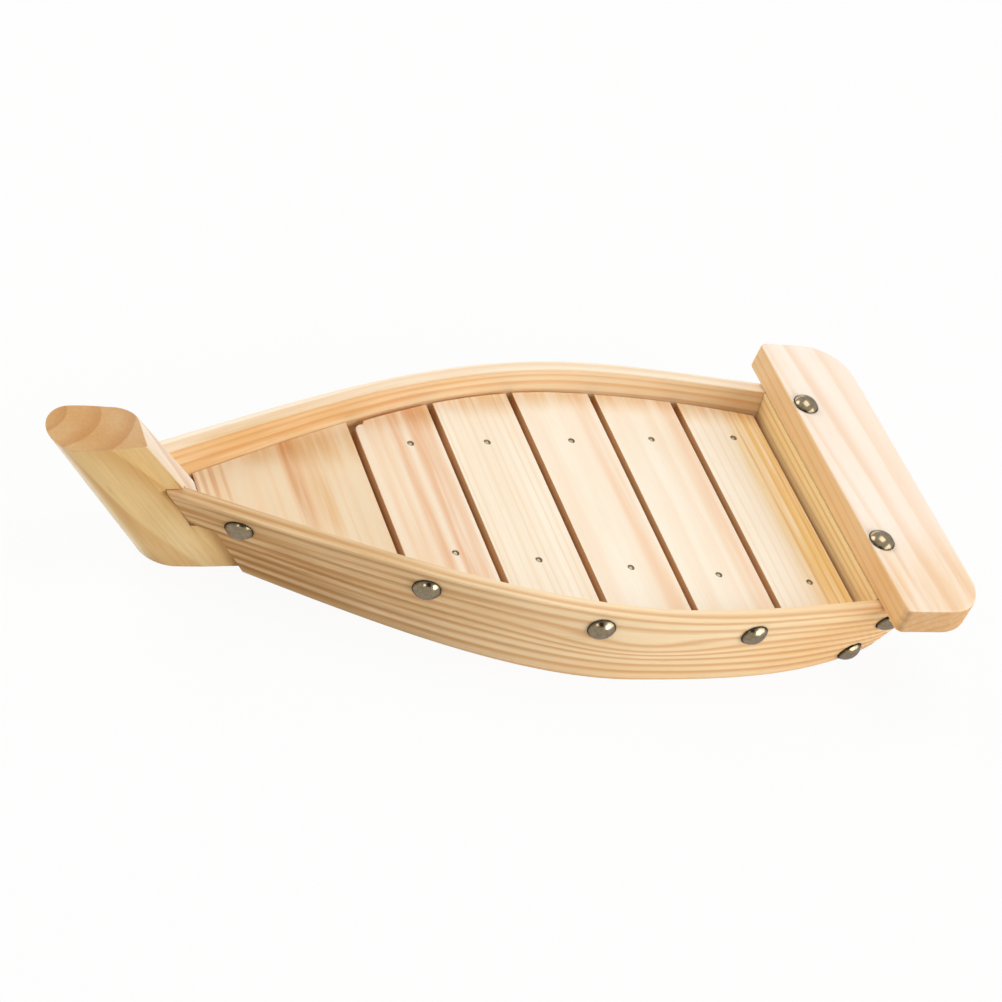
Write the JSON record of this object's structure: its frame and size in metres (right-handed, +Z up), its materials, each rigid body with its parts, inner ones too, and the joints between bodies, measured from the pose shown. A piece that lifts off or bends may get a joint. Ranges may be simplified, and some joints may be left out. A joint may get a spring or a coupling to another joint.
{
  "type": "sushi boat",
  "caption": "Boat-shaped wooden serving tray: bent, flared side boards let into a raked bow stem, a slatted deck, a transom and a stern board, held by dome-headed tacks.",
  "frame": {"origin": "middle of the length and breadth, at the level of the table it stands on", "axes": "+X from the bow stem to the stern board, +Y to starboard, +Z up"},
  "size_m": [0.37, 0.1576, 0.058],
  "materials": {
    "pine_side": "planed pine, clear satin finish",
    "pine_stem": "planed pine, clear satin finish",
    "pine_deck": "planed pine, clear satin finish",
    "pine_bow_deck": "planed pine, clear satin finish",
    "pine_batten": "planed pine, clear satin finish",
    "pine_transom": "planed pine, clear satin finish",
    "pine_stern": "planed pine, clear satin finish",
    "antique_metal": "antique nickel plate, softly polished",
    "brad_metal": "dull bare steel"
  },
  "bodies": {
    "root": {"bow_stem": "pine_stem", "port_side_board": "pine_side", "starboard_side_board": "pine_side", "transom_board": "pine_transom", "stern_top_board": "pine_stern", "bow_deck_board": "pine_bow_deck", "deck_plank_1": "pine_deck", "deck_plank_2": "pine_deck", "deck_plank_3": "pine_deck", "deck_plank_4": "pine_deck", "deck_plank_5": "pine_deck", "port_deck_batten": "pine_batten", "starboard_deck_batten": "pine_batten", "port_side_tack_1": "antique_metal", "port_side_tack_2": "antique_metal", "port_side_tack_3": "antique_metal", "port_side_tack_4": "antique_metal", "port_side_tack_5": "antique_metal", "port_side_tack_6": "antique_metal", "port_stern_tack": "antique_metal", "starboard_side_tack_1": "antique_metal", "starboard_side_tack_2": "antique_metal", "starboard_side_tack_3": "antique_metal", "starboard_side_tack_4": "antique_metal", "starboard_side_tack_5": "antique_metal", "starboard_side_tack_6": "antique_metal", "starboard_stern_tack": "antique_metal", "port_deck_brad_1": "brad_metal", "port_deck_brad_2": "brad_metal", "port_deck_brad_3": "brad_metal", "port_deck_brad_4": "brad_metal", "port_deck_brad_5": "brad_metal", "starboard_deck_brad_1": "brad_metal", "starboard_deck_brad_2": "brad_metal", "starboard_deck_brad_3": "brad_metal", "starboard_deck_brad_4": "brad_metal", "starboard_deck_brad_5": "brad_metal"}
  },
  "joints": []
}
